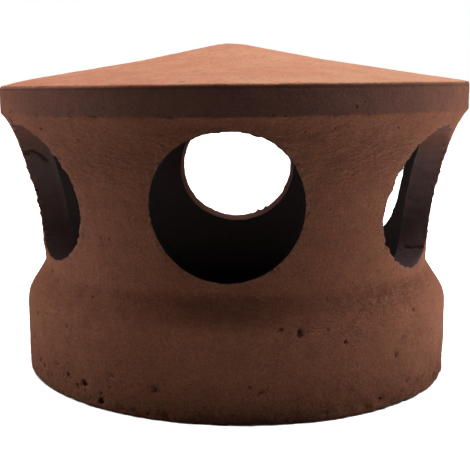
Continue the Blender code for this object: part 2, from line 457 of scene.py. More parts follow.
def hole_patch(index):
    """Rings from a sector's border on the outside, over the hole's edge, through it, to the inside."""
    bearing, height, plain_radius = HOLES[index]
    left, right = POSTS[index], POSTS[index + 1]
    across = np.linspace(left, right, SECTOR_COLUMNS + 1)

    def border(low, high):
        """Bearings and heights once around the sector."""
        up = np.linspace(low, high, POST_ROWS + 1)
        bearings = [across[:-1], np.full(POST_ROWS, right), across[:0:-1], np.full(POST_ROWS, left)]
        heights = [np.full(SECTOR_COLUMNS, low), up[:-1], np.full(SECTOR_COLUMNS, high), up[:0:-1]]
        return np.concatenate(bearings), np.concatenate(heights)

    outer_border = border(PATCH_FOOT, PATCH_TOP)
    inner_border = border(INNER_PATCH_FOOT, INNER_PATCH_TOP)

    # Each point's angle around the hole lies between where it is seen and an even spacing
    toward = np.unwrap(np.arctan2(outer_border[1] - height, (outer_border[0] - bearing) * WAIST_RADIUS))
    even = toward[0] + np.linspace(0, math.tau, len(toward), endpoint=False)
    angle = (toward + even) / 2
    outward = np.array([math.sin(bearing), -math.cos(bearing), 0])
    side = np.array([math.cos(bearing), math.sin(bearing), 0])

    radius = np.full(len(angle), plain_radius)
    for hole, middle, half, reach in STRAYS:
        if hole == index:
            away = np.angle(np.exp(1j * (angle - math.radians(middle))))
            radius -= reach * np.exp(-(away / math.radians(half))**2)
    inner_radius = radius + CUT_FLARES[index]

    def at_reach(reach):
        """How far aside and how high each point is at a reach from the hole's middle."""
        return reach * np.cos(angle), height + reach * np.sin(angle)

    def on_wall(wall, reach):
        aside, up = at_reach(reach)
        out = np.sqrt(wall(up)**2 - aside**2)
        return out[:, None] * outward + aside[:, None] * side + up[:, None] * np.array([0, 0, 1])

    def rings(wall, sector, layers, reach):
        """Rings on a wall from the sector's border to a reach from the hole's middle."""
        aside, up = at_reach(reach)
        hole_bearings = bearing + np.arcsin(aside / wall(up))
        result = []
        for layer in range(layers):
            share = (layer / layers)**RING_CROWDING
            heights = sector[1] + (up - sector[1]) * share
            bearings = sector[0] + (hole_bearings - sector[0]) * share
            radii = wall(heights)
            result.append(np.stack([radii * np.sin(bearings), -radii * np.cos(bearings), heights], -1))
        return result

    def edge(wall, reach, inward, softness):
        """Rings over a softened edge."""
        start = on_wall(wall, reach + softness)
        corner = on_wall(wall, reach)
        end = corner + inward * softness * outward
        return [(1 - u)**2 * start + 2 * u * (1 - u) * corner + u * u * end for u in OVER]

    outer = rings(outside_radius, outer_border, OUTER_LAYERS, radius + OUTER_SOFTNESS)
    outer_edge = edge(outside_radius, radius, -1, OUTER_SOFTNESS)
    inner_edge = edge(inside_radius, inner_radius, 1, INNER_SOFTNESS)[::-1]
    inner = rings(inside_radius, inner_border, INNER_LAYERS, inner_radius + INNER_SOFTNESS)[::-1]
    cut = [outer_edge[-1] + (inner_edge[0] - outer_edge[-1]) * share for share in THROUGH]
    return np.array(outer + outer_edge + cut + inner_edge + inner), hole_tags(index, angle)


# Relief

SEED_SHIFT = (17.3, 5.1, 9.7)


def field(points, size, seed=0):
    """Smooth noise from about -1 to 1, its lumps a size apart. Each use has a seed of its own."""
    offset = Vector([seed * shift for shift in SEED_SHIFT])
    return np.array([noise.noise(Vector(point) / size + offset) for point in points])


def bell(values, middle, reach):
    """1 in the middle, falling off smoothly to either side."""
    return np.exp(-((values - middle) / reach)**2)


def bearings_of(points):
    return np.arctan2(points[:, 0], -points[:, 1])


def patch(points, bearing, height, wide, tall):
    """1 in the middle of a patch of the wall, falling off smoothly: degrees and millimetres."""
    away = (np.degrees(bearings_of(points)) - bearing + 180) % 360 - 180
    return np.exp(-(away / wide)**2 - ((points[:, 2] / MM - height) / tall)**2)


# Pits seen from the front: bearing in degrees, height along the axis, radius, depth
FRONT_PITS = (
    (-59.9, 12.2, 1.0, 0.9), (-57.1, 10.7, 0.9, 0.8), (-55.4, 7.4, 1.0, 0.9), (-45.1, 12.4, 0.9, 0.9),
    (-38.8, 10.9, 1.5, 1.4), (-41.8, 9.3, 0.8, 0.8), (-33.6, 4.5, 1.5, 1.4), (-18.7, 13.1, 1.1, 1.0),
    (-60.8, 32.7, 0.9, 0.8), (-63.2, 49.8, 0.8, 0.7), (-49.5, 15.1, 0.8, 0.7), (14.4, 37.3, 1.2, 1.2),
    (14.2, 36.1, 0.9, 0.9), (10.3, 38.5, 0.9, 0.8), (25.4, 31.4, 0.8, 0.7), (41.1, 21.5, 0.9, 0.7),
    (35.9, 3.7, 1.0, 0.8), (62.1, 2.2, 1.1, 0.9), (49.4, 38.8, 0.8, 0.7), (-54.2, 139.0, 0.9, 0.7),
    (-46.7, 141.0, 0.9, 0.7), (-31.6, 142.2, 0.8, 0.6), (-37.3, 150.3, 0.8, 0.6), (-10.7, 134.9, 1.1, 0.8),
    (6.8, 140.2, 0.8, 0.6), (-28.9, 122.4, 0.6, 0.5), (-17.8, 122.6, 0.5, 0.4), (-60.3, 123.3, 0.8, 0.6),
    (-64.0, 119.2, 1.9, 1.0), (-66.5, 116.6, 1.5, 0.9), (-48.0, 116.5, 0.8, 0.6), (-36.0, 113.0, 0.8, 0.6),
    (37.4, 116.2, 0.7, 0.6), (21.0, 117.0, 0.7, 0.6), (-66.0, 21.0, 0.8, 0.7), (5.5, 13.6, 0.7, 0.6),
)
# Where small pits crowd: lowest and highest bearing, lowest and highest height, how many, and their
# radius in millimetres
CROWDS = (
    (-67, -30, 1.5, 17, 44, 0.5), (-30, 40, 0.8, 6, 26, 0.5), (40, 67, 0.8, 9, 12, 0.5),
    (-62, 62, 120.8, 122.6, 14, 0.36), (-64, -50, 109, 121, 8, 0.5), (20, 62, 104, 121, 7, 0.4),
    (20, 66, 28, 44, 10, 0.42), (-66, -52, 20, 56, 9, 0.42), (-70, 70, 134.6, 150, 30, 0.45),
    (75, 285, 1, 18, 44, 0.8), (75, 285, 18, 152, 60, 0.65), (-66, -38, 2, 20, 26, 0.42),
)
CROWD_SIZES = (0.65, 1.3)  # a small pit's radius as a share of its crowd's
CROWD_DEPTHS = (0.5, 0.9)  # and its depth as a share of its own radius
SEED = 11


def pits():
    """Every pit as (middle, radius, depth)."""
    found = []
    for bearing, height, radius, depth in FRONT_PITS:
        found.append((around(math.radians(bearing), height * MM), radius * MM, depth * MM))
    draw = random.Random(SEED)
    for first, last, low, high, count, size in CROWDS:
        for _ in range(count):
            bearing = math.radians(draw.uniform(first, last))
            height = draw.uniform(low, high) * MM
            radius = size * draw.uniform(*CROWD_SIZES) * MM
            found.append((around(bearing, height), radius, radius * draw.uniform(*CROWD_DEPTHS)))
    return found


def surface_radius(height):
    """The outside's radius at a height, on the cap, the band or below it."""
    if height > BEND_HEIGHT:
        return max(0.0, CAP_BEND_RADIUS * (TIP_HEIGHT - height) / CAP_TIP_RISE)
    if height > RIM_HEIGHT:
        return RIM_RADIUS + (CAP_BEND_RADIUS - RIM_RADIUS) * (height - RIM_HEIGHT) / CAP_SKIRT_RISE
    if height > BAND_FOOT:
        return RIM_RADIUS
    return float(outside_radius(height))


def around(bearing, height, radius=None):
    """A place on the outside, or at a given radius."""
    if radius is None:
        radius = surface_radius(height)
    return np.array([radius * math.sin(bearing), -radius * math.cos(bearing), height])


# Lumps all over: how far they stand proud and their size, in millimetres, and their noise's seed
LUMPS = ((0.16, 14, 1), (0.11, 5, 2), (0.09, 2.4, 3))

# Ridges left by turning
RIDGE_PROUD = 0.06 * MM
RIDGE_RISE = 1.9 * MM
RIDGE_WANDER = 1.3

# Wear of the holes' edges and cut faces, in millimetres
CRUMB_SIZE = 2.1
FINE_CRUMB_SIZE = 1.2
EDGE_CRUMBLE, EDGE_CRUMBS, EDGE_SINK, EDGE_SINK_SIZE = 0.9, 0.5, 0.3, 7
INNER_EDGE_CRUMBLE = 0.6
CUT_DRAG, CUT_DRAG_SIZE, CUT_CRUMBLE = 0.35, 4, 0.2
FRONT_CRUMBLE = 0.25  # how much of the crumbling there is at the front and the back
SIDE_FROM, SIDE_FADE = 0.5, 3

# Wear of the foot: depth, size, the noise's seed and how much is added to the noise
FOOT_WORN_UP_TO = 5 * MM
FOOT_WEAR = ((0.7, 5, 8, 0.1), (1.5, 2.1, 9, 0.0))

# Small chips along the band's lower edge
CHIP_REACH = 0.8 * MM
CHIP_DEPTH = 0.9
CHIP_SIZE = 2.2 * MM
CHIP_SPARSENESS = 0.12
RIM_EDGE_REACH = 1.5 * MM

# The rim's edge droops a little at the viewer's left
DROOP = 0.5 * MM
DROOP_WIDTH = 5 * MM
DROOP_BELOW = 1 * MM

# The scuffed stretch of the sloping shoulder, at the viewer's right
SCUFF_HEIGHT, SCUFF_TALL = 42 * MM, 6 * MM
SCUFF_BEARING, SCUFF_WIDE = math.radians(38), 0.42
SCUFF_PROUD = 0.45
SCUFF_TURNS = 14
SCUFF_RISE = 1.5 * MM

# Where the wall is fuller or leaner than the turned form: bearing, height, their reach, and how much
SWELLS = ((-90, 96, 25, 9, 0.8), (-90, 61, 25, 3.5, 0.8), (90, 73, 25, 9, -0.6), (75, 4, 25, 6, -0.5))

# Lumps of clay left by the cutter, as bearing, height, radius, size and how far they stand proud, and
# a ledge and a score on two cut faces, as bearing, height and radius of their points
BURRS = (
    (171.4, 59.3, 89.9, 1.6, 2.0), (168.3, 61.5, 87.3, 1.8, 2.4), (175.0, 57.8, 90.5, 1.2, 0.9),
    (126.5, 57.5, 82.0, 3.2, 1.4), (130.0, 60.5, 82.5, 2.6, 1.2), (122.0, 56.0, 81.5, 2.4, 0.8),
)
LEDGE = (
    (-75.0, 101.0, 101.5), (-75.9, 103.3, 99.7), (-76.0, 104.3, 96.9), (-77.4, 102.0, 93.3),
    (-78.8, 99.2, 90.7),
)
SCORE = ((70.4, 58.3, 84.0), (69.9, 58.8, 93.0))
GROOVE_WIDTH = 0.9 * MM
GROOVE_DEPTH = 0.9 * MM

# A pit's outline is uneven, and its floor is flatter than a bowl's
PIT_UNEVENNESS = 0.45 * MM
PIT_UNEVEN_SIZE = 0.9 * MM
PIT_FULLNESS = 1.15


def distance_to_path(points, rows):
    """How far each point is from a line through (bearing, height, radius) rows."""
    path = [around(math.radians(bearing), height * MM, radius * MM) for bearing, height, radius in rows]
    nearest = np.full(len(points), np.inf)
    for start, end in zip(path, path[1:]):
        way = end - start
        share = np.clip((points - start) @ way / (way @ way), 0, 1)
        nearest = np.minimum(nearest, np.linalg.norm(points - start - share[:, None] * way, axis=1))
    return nearest


def relief(points, tags):
    """How far each point stands proud of the plain form along its normal, and how deep it is in a pit."""
    outside, cut = tagged(tags, "outside"), tagged(tags, "cut")
    outer_edge, inner_edge = tagged(tags, "outer_edge"), tagged(tags, "inner_edge")
    bearings = bearings_of(points)
    radii = np.hypot(points[:, 0], points[:, 1])
    heights = points[:, 2]

    proud = np.zeros(len(points))
    for height, size, seed in LUMPS:
        proud += height * MM * field(points, size * MM, seed)
    turns = np.stack([
        np.sin(bearings) * RIDGE_WANDER, np.cos(bearings) * RIDGE_WANDER, heights / RIDGE_RISE], -1)
    proud += RIDGE_PROUD * field(turns, 1.0) * outside * (1 - cut)

    # Cut faces are dragged along the cutter's way and the edges crumble a little, most at the sides
    crumble = field(points, CRUMB_SIZE * MM, 5)
    sunk = np.clip(field(points, EDGE_SINK_SIZE * MM, 6), 0, 1)
    fine_crumble = field(points, FINE_CRUMB_SIZE * MM, 12)
    sides = np.clip((np.abs(np.sin(bearings)) - SIDE_FROM) * SIDE_FADE, FRONT_CRUMBLE, 1)
    worn = EDGE_CRUMBLE * crumble + EDGE_CRUMBS * fine_crumble - EDGE_SINK * sunk
    proud += outer_edge * sides * MM * worn
    proud -= inner_edge * sides * MM * INNER_EDGE_CRUMBLE * np.clip(crumble, 0, 1)
    proud += cut * MM * (CUT_DRAG * field(points, CUT_DRAG_SIZE * MM, 7) + CUT_CRUMBLE * crumble)

    foot = np.clip(1 - heights / FOOT_WORN_UP_TO, 0, 1) * outside
    rough = np.zeros(len(points))
    for deep, size, seed, more in FOOT_WEAR:
        rough += deep * np.clip(field(points, size * MM, seed) + more, 0, 1)
    proud -= foot * MM * rough

    band_edge = bell(heights, BAND_FOOT, CHIP_REACH) * (radii > RIM_RADIUS - RIM_EDGE_REACH)
    chips = np.clip(field(points, CHIP_SIZE, 10) - CHIP_SPARSENESS, 0, 1)
    proud -= band_edge * MM * CHIP_DEPTH * chips

    drooping = bell(radii, RIM_RADIUS, DROOP_WIDTH) * (heights > RIM_HEIGHT - DROOP_BELOW)
    proud -= drooping * DROOP * np.clip(-np.sin(bearings), 0, 1)**2

    scuffed = bell(heights, SCUFF_HEIGHT, SCUFF_TALL) * bell(bearings, SCUFF_BEARING, SCUFF_WIDE)
    streaks = np.stack([
        np.sin(bearings) * SCUFF_TURNS, np.cos(bearings) * SCUFF_TURNS, heights / SCUFF_RISE], -1)
    proud += scuffed * SCUFF_PROUD * MM * field(streaks, 1.0, 4) * outside

    for bearing, height, wide, tall, rise in SWELLS:
        proud += outside * rise * MM * patch(points, bearing, height, wide, tall)
    for bearing, height, radius, size, rise in BURRS:
        middle = around(math.radians(bearing), height * MM, radius * MM)
        near = np.linalg.norm(points - middle, axis=1) / (size * MM)
        proud += np.clip(1 - near**2, 0, 1) * rise * MM

    depth = np.zeros(len(points))
    uneven = PIT_UNEVENNESS * field(points, PIT_UNEVEN_SIZE, 14)
    for middle, radius, deep in pits():
        near = (np.linalg.norm(points - middle, axis=1) + uneven) / radius
        depth = np.maximum(depth, np.clip(PIT_FULLNESS - near**2, 0, 1) * outside * deep)
    for rows in (LEDGE, SCORE):
        near = distance_to_path(points, rows) / GROOVE_WIDTH
        depth = np.maximum(depth, np.clip(1 - near**2, 0, 1) * GROOVE_DEPTH)
    return proud - depth, depth


# Where the surface is crinkled from turning, with pale painted highlights on the crinkles: bearing and
# height in the middle, their reach, and how strongly
CRINKLE_AND_HIGHLIGHT_PLACES = (
    (45, 45, 22, 4.5, 1.0), (28, 39, 20, 5, 0.7), (-40, 103, 26, 12, 0.5), (38, 104, 22, 12, 0.6),
    (0, 112, 40, 6, 0.4), (-62, 92, 9, 20, 0.4), (-52, 40, 14, 9, 0.35), (170, 45, 40, 6, 0.8),
)
CAP_FROM = RIM_HEIGHT - 0.2 * MM
# Painted light: how much paler the cap is made at its right edge
PAINTED_CAP_LIGHT = 0.5  # how much paler the cap is at its right edge

# The turned form as it dried: the tip off centre, the cap fuller on one side, the shoulder askew
TIP_SHIFT = -2.1 * MM
TIP_SHIFT_REACH = 60 * MM
LEFT_LIFT = 0.5 * MM
LIFT_RIM_REACH = 16 * MM
LIFT_TIP_REACH = 25 * MM
CREASE_TILT = 1.15 * MM
CREASE_LIFT = 0.35 * MM
CREASE_MOVED = (26 * MM, 60 * MM)
CREASE_MOVED_FADE = 10 * MM


def crinkle_and_highlight_places(points):
    result = np.zeros(len(points))
    for bearing, height, wide, tall, strength in CRINKLE_AND_HIGHLIGHT_PLACES:
        result = np.maximum(result, strength * patch(points, bearing, height, wide, tall))
    return result


def painted_cap_light(points, outside):
    """Painted light on the cap, paler towards the viewer's right."""
    on_cap = outside * (points[:, 2] > CAP_FROM)
    return on_cap * PAINTED_CAP_LIGHT * np.clip((points[:, 0] + RIM_RADIUS) / (2 * RIM_RADIUS), 0, 1)**2


def warped(points, outside):
    """The points moved from the turned form to the form as it dried."""
    radii = np.hypot(points[:, 0], points[:, 1])
    heights = points[:, 2]
    on_cap = outside * (heights > CAP_FROM)
    result = points.copy()
    result[:, 0] += on_cap * TIP_SHIFT * np.clip(1 - radii / TIP_SHIFT_REACH, 0, 1)
    left = np.clip(-points[:, 0] / RIM_RADIUS, 0, 1)
    between = (np.clip((RIM_RADIUS - radii) / LIFT_RIM_REACH, 0, 1)
               * np.clip(radii / LIFT_TIP_REACH, 0, 1))
    result[:, 2] += on_cap * LEFT_LIFT * between * np.clip(left * 2, 0, 1)
    low, high = CREASE_MOVED
    at_crease = (np.clip((heights - low) / CREASE_MOVED_FADE, 0, 1)
                 * np.clip((high - heights) / CREASE_MOVED_FADE, 0, 1))
    result[:, 2] += outside * at_crease * (CREASE_LIFT - CREASE_TILT * points[:, 0] / WAIST_RADIUS)
    return result


def leaned(points):
    """The points leaned about the middle of the rim, with the foot level, and kept in the solid's box."""
    c, s = math.cos(LEAN), math.sin(LEAN)
    across, above = points[:, 0], points[:, 2] - RIM_HEIGHT
    moved = np.stack([c * across - s * above, points[:, 1], s * across + c * above + RIM_HEIGHT], -1)
    return np.clip(moved, np.array(cad_box[0]), np.array(cad_box[1]))


# The mesh

MERGE_DISTANCE = 0.01 * MM
DEGENERATE_DISTANCE = 0.001 * MM
PITS_REFINED_UP_TO = 30 * MM  # pits further back than this are left coarse
PIT_MARGIN = 1.0 * MM
PIT_CUTS = 3

# The rim band's painted purple shade grows towards the front and is weakest where the band faces away
BAND_FACING, BAND_FACING_FROM = 2.2, 0.75  # how fast the band's tone grows towards the front
BAND_LEAST = 0.25  # how much of the band's tone is left where it faces away
# Pits are darkened by their depth: painted shade, with some dirt
PIT_DARK_DEPTH = 0.5 * MM  # a pit is darkest from this depth on

# A faint painted shadow line on the band, under the rim's edge
RIM_LINE_DROP = 1.5 * MM
RIM_LINE_REACH = 0.45 * MM
RIM_LINE_STRENGTH = 0.45
RIM_LINE_ON_BAND = 0.2  # only where the band's tag is above this


def add_object(name, data):
    item = bpy.data.objects.new(name, data)
    bpy.context.scene.collection.objects.link(item)
    return item


def refine_pits(maker):
    """Split the faces around each pit so that the pit is round and crisp."""
    places = np.array([vertex.co for vertex in maker.verts])
    near = np.zeros(len(places), bool)
    for middle, radius, _ in pits():
        if middle[1] < PITS_REFINED_UP_TO:
            near |= np.linalg.norm(places - middle, axis=1) < radius + PIT_MARGIN
    edges = [edge for edge in maker.edges if near[edge.verts[0].index] and near[edge.verts[1].index]]
    bmesh.ops.subdivide_edges(maker, edges=edges, cuts=PIT_CUTS, use_grid_fill=True)


def plain_form():
    """The turned form with its holes as a bmesh, and the layers of its tags."""
    shell = Shell()
    add_cap_and_band(shell)
    add_shoulder_and_socket(shell)
    add_foot(shell)
    add_inside(shell)
    for index in range(HOLE_COUNT):
        shell.add(*hole_patch(index))

    maker = bmesh.new()
    layers = [maker.verts.layers.float.new(name) for name in TAGS]
    for point, values in zip(np.concatenate(shell.points), np.concatenate(shell.tags)):
        vertex = maker.verts.new(point)
        for layer, value in zip(layers, values):
            vertex[layer] = value
    maker.verts.ensure_lookup_table()
    for face in shell.faces:
        maker.faces.new([maker.verts[number] for number in face])
    bmesh.ops.remove_doubles(maker, verts=maker.verts, dist=MERGE_DISTANCE)
    bmesh.ops.dissolve_degenerate(maker, dist=DEGENERATE_DISTANCE, edges=maker.edges)
    maker.verts.index_update()
    refine_pits(maker)
    bmesh.ops.recalc_face_normals(maker, faces=maker.faces)
    maker.normal_update()
    return maker, layers


def write_attribute(mesh, name, values):
    known = mesh.attributes.get(name) or mesh.attributes.new(name, "FLOAT", "POINT")
    known.data.foreach_set("value", values.astype(np.float32))


def lantern():
    maker, layers = plain_form()
    plain = np.array([vertex.co for vertex in maker.verts])
    normals = np.array([vertex.normal for vertex in maker.verts])
    tags = np.array([[vertex[layer] for layer in layers] for vertex in maker.verts])

    # The band's painted shade, strongest where the band faces the front
    band = tagged(tags, "band")
    facing = plain[:, 1] / -RIM_RADIUS
    band *= np.clip(facing * BAND_FACING - BAND_FACING_FROM, BAND_LEAST, 1)
    skin = tagged(tags, "outside") * (1 - tagged(tags, "cut"))

    proud, depth = relief(plain, tags)
    points = warped(plain, skin) + normals * proud[:, None]
    for vertex, place in zip(maker.verts, leaned(points)):
        vertex.co = place
    mesh = bpy.data.meshes.new("terracotta_lantern")
    maker.to_mesh(mesh)
    maker.free()

    # The painted shadow line under the rim's edge goes into the pit attribute, together with the pits'
    # painted shade
    line = bell(points[:, 2] - RIM_HEIGHT, -RIM_LINE_DROP, RIM_LINE_REACH) * (band > RIM_LINE_ON_BAND)
    dark = np.clip(np.maximum(depth / PIT_DARK_DEPTH, line * RIM_LINE_STRENGTH), 0, 1)
    write_attribute(mesh, "pit", dark)
    write_attribute(mesh, "band", band)
    write_attribute(mesh, "crinkles_and_highlights", crinkle_and_highlight_places(plain))
    write_attribute(mesh, "painted_cap_light", painted_cap_light(plain, skin))
    mesh.shade_smooth()
    body = add_object("terracotta_lantern", mesh)
    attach(body, "root")
    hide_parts("vent_lantern")
    return body


# Materials

def add_node(tree, kind, **settings):
    node = tree.nodes.new(kind)
    for name, value in settings.items():
        setattr(node, name, value)
    return node


def ramp(tree, source, low, high, low_value=0.0, high_value=1.0):
    """A number pulled from one range into another."""
    node = add_node(tree, "ShaderNodeMapRange")
    tree.links.new(source, node.inputs["Value"])
    ends = {"From Min": low, "From Max": high, "To Min": low_value, "To Max": high_value}
    for name, value in ends.items():
        node.inputs[name].default_value = value
    return node.outputs["Result"]


def noise_field(tree, vector, scale, detail, roughness):
    node = add_node(tree, "ShaderNodeTexNoise")
    tree.links.new(vector, node.inputs["Vector"])
    node.inputs["Scale"].default_value = scale
    node.inputs["Detail"].default_value = detail
    node.inputs["Roughness"].default_value = roughness
    return node.outputs["Fac"]


def stretched(tree, place, scale):
    node = add_node(tree, "ShaderNodeMapping")
    tree.links.new(place, node.inputs["Vector"])
    node.inputs["Scale"].default_value = scale
    return node.outputs["Vector"]


def calculated(tree, operation, first, second):
    node = add_node(tree, "ShaderNodeMath", operation=operation)
    tree.links.new(first, node.inputs[0])
    tree.links.new(second, node.inputs[1])
    return node.outputs["Value"]


def attribute(tree, name, reach=1.0):
    """One of the mesh's numbers, scaled to a reach."""
    node = add_node(tree, "ShaderNodeAttribute", attribute_name=name)
    return ramp(tree, node.outputs["Fac"], 0, 1, 0, reach)


def blend_colours(tree, factor, first, second, kind="MIX"):
    node = add_node(tree, "ShaderNodeMix", data_type="RGBA", blend_type=kind)
    for socket, value in ((node.inputs[0], factor), (node.inputs[6], first), (node.inputs[7], second)):
        if isinstance(value, bpy.types.NodeSocket):
            tree.links.new(value, socket)
        else:
            socket.default_value = value
    return node.outputs[2]


TONES = {
    "clay": (0.485, 0.177, 0.095),
    "cloud": (0.555, 0.215, 0.124),
    "blotch": (0.445, 0.166, 0.096),
    "streak": (0.4, 0.14, 0.08),
    "pale speck": (0.64, 0.3, 0.19),
    "dark speck": (0.36, 0.125, 0.068),
    "foot patch": (0.19, 0.08, 0.056),
    "foot speck": (0.12, 0.048, 0.032),
    "painted cap light": (0.68, 0.378, 0.225),
    "cap cloud": (0.565, 0.32, 0.175),
    "cap freckle": (0.42, 0.13, 0.08),
    "crinkle_and_highlight": (0.6, 0.28, 0.175),
    "band": (0.255, 0.145, 0.155),
    "cut": (0.3, 0.185, 0.165),
    "grey cut": (0.252, 0.192, 0.202),
    "inner edge": (0.42, 0.33, 0.33),
    "inside": (0.043, 0.038, 0.041),
    "crumb": (0.6, 0.33, 0.24),
    "gap_shade": (0.06, 0.032, 0.026),
    "soot": (0.008, 0.006, 0.007),
    "pinhole": (0.14, 0.055, 0.035),
    "pit": (0.1, 0.038, 0.026),
}

# Noise patterns: scale, detail, roughness, the range that is read, and what its ends become
PATTERNS = {
    "cloud": (22.0, 3.0, 0.55, 0.35, 0.65, 0, 1),
    "blotch": (120.0, 4.0, 0.6, 0.42, 0.68, 0, 1),
    "pale speck": (420.0, 2.0, 0.5, 0.62, 0.76, 0, 0.35),
    "dark speck": (520.0, 3.0, 0.6, 0.56, 0.7, 0, 0.5),
    "grain": (1100.0, 3.0, 0.75, 0.3, 0.72, 0.72, 1.26),
    "foot patch": (420.0, 4.0, 0.7, 0.48, 0.6, 0, 0.65),
    "foot speck": (560.0, 4.0, 0.75, 0.605, 0.65, 0, 0.85),
    "cap cloud": (75.0, 4.0, 0.65, 0.44, 0.64, 0, 0.45),
    "cap freckle": (480.0, 3.0, 0.7, 0.58, 0.66, 0, 0.9),
    "mottle": (260.0, 4.0, 0.65, 0.38, 0.62, 0.65, 0.95),
    "crumb": (620.0, 3.0, 0.6, 0.5, 0.62, 0, 0.6),
    "gap_shade": (430.0, 4.0, 0.7, 0.57, 0.64, 0, 0.8),
    "crowding": (45.0, 2.0, 0.55, 0.4, 0.65, 0.2, 1.2),
    "dullness": (300.0, 3.0, 0.55, 0.3, 0.7, 0.8, 0.95),
}
STREAK_SCALE = (90, 90, 640)
STREAK_NOISE = (1.0, 3.0, 0.55)
STREAK_RANGE = (0.50, 0.75, 0, 0.35)
CRINKLE_SCALE = (210, 210, 620)
CRINKLE_NOISE = (1.0, 4.0, 0.65)
CRINKLE_HIGHLIGHT_RANGE = (0.40, 0.58, 0, 0.7)
FOOT_PATCHES_UP_TO = 11 * MM
FOOT_SPECKS_FADE = (6 * MM, 26 * MM)
CAP_EDGE_FADE = 1 * MM
PINHOLE_SCALE = 260.0
PINHOLE_SIZES = (0.55, 1.0, 0.0, 0.20)  # over half of the pattern's cells have no pinhole
PINHOLE_EDGE = (-0.02, 0.05)
SPECULAR = 0.35

# Relief too fine for the mesh: scale, detail and roughness of two noises, and how strong and how
# high in millimetres each bump is
COARSE_NOISE = (260.0, 3.0, 0.6)
FINE_NOISE = (750.0, 4.0, 0.7)
STREAK_BUMP = (0.6, 0.2)
COARSE_BUMP = (0.6, 0.5)
FINE_BUMP = (1.0, 0.3)
CRINKLE_BUMP = (1.0, 3.2)
PINHOLE_BUMP = (-0.8, 0.35)

# How strongly each of these tones shows where its attribute is 1
REACH = {"band": 0.45, "cut": 0.25, "inner_edge": 0.22, "inside": 0.94, "pinhole": 0.7, "pit": 0.9}


class Clay:
    """A colour that is built up tone by tone, from noise patterns and the mesh's attributes."""

    def __init__(self, tree):
        self.tree = tree
        self.place = add_node(tree, "ShaderNodeTexCoord").outputs["Object"]
        self.colour = (*TONES["clay"], 1)

    def pattern(self, name):
        scale, detail, roughness, *reach = PATTERNS[name]
        return ramp(self.tree, noise_field(self.tree, self.place, scale, detail, roughness), *reach)

    def paint(self, tone, *shares):
        """Blend a tone in, by the product of the shares."""
        share = shares[0]
        for other in shares[1:]:
            share = calculated(self.tree, "MULTIPLY", share, other)
        self.colour = blend_colours(self.tree, share, self.colour, (*TONES[tone], 1))


def pinholes(tree, clay):
    """Small holes in the clay, all over but denser in some places than others: 1 in a hole."""
    cells = add_node(tree, "ShaderNodeTexVoronoi")
    tree.links.new(clay.place, cells.inputs["Vector"])
    cells.inputs["Scale"].default_value = PINHOLE_SCALE
    chance = add_node(tree, "ShaderNodeSeparateColor")
    tree.links.new(cells.outputs["Color"], chance.inputs["Color"])
    size = ramp(tree, chance.outputs["Red"], *PINHOLE_SIZES)
    width = calculated(tree, "MULTIPLY", size, clay.pattern("crowding"))
    return ramp(tree, calculated(tree, "SUBTRACT", width, cells.outputs["Distance"]), *PINHOLE_EDGE)


def chained_bumps(tree, reliefs):
    """The normal after all the reliefs, each as (height, strength, distance in millimetres)."""
    normal = None
    for height, strength, distance in reliefs:
        bump = add_node(tree, "ShaderNodeBump")
        bump.invert = strength < 0
        bump.inputs["Strength"].default_value = abs(strength)
        bump.inputs["Distance"].default_value = distance * MM
        tree.links.new(height, bump.inputs["Height"])
        if normal:
            tree.links.new(normal, bump.inputs["Normal"])
        normal = bump.outputs["Normal"]
    return normal


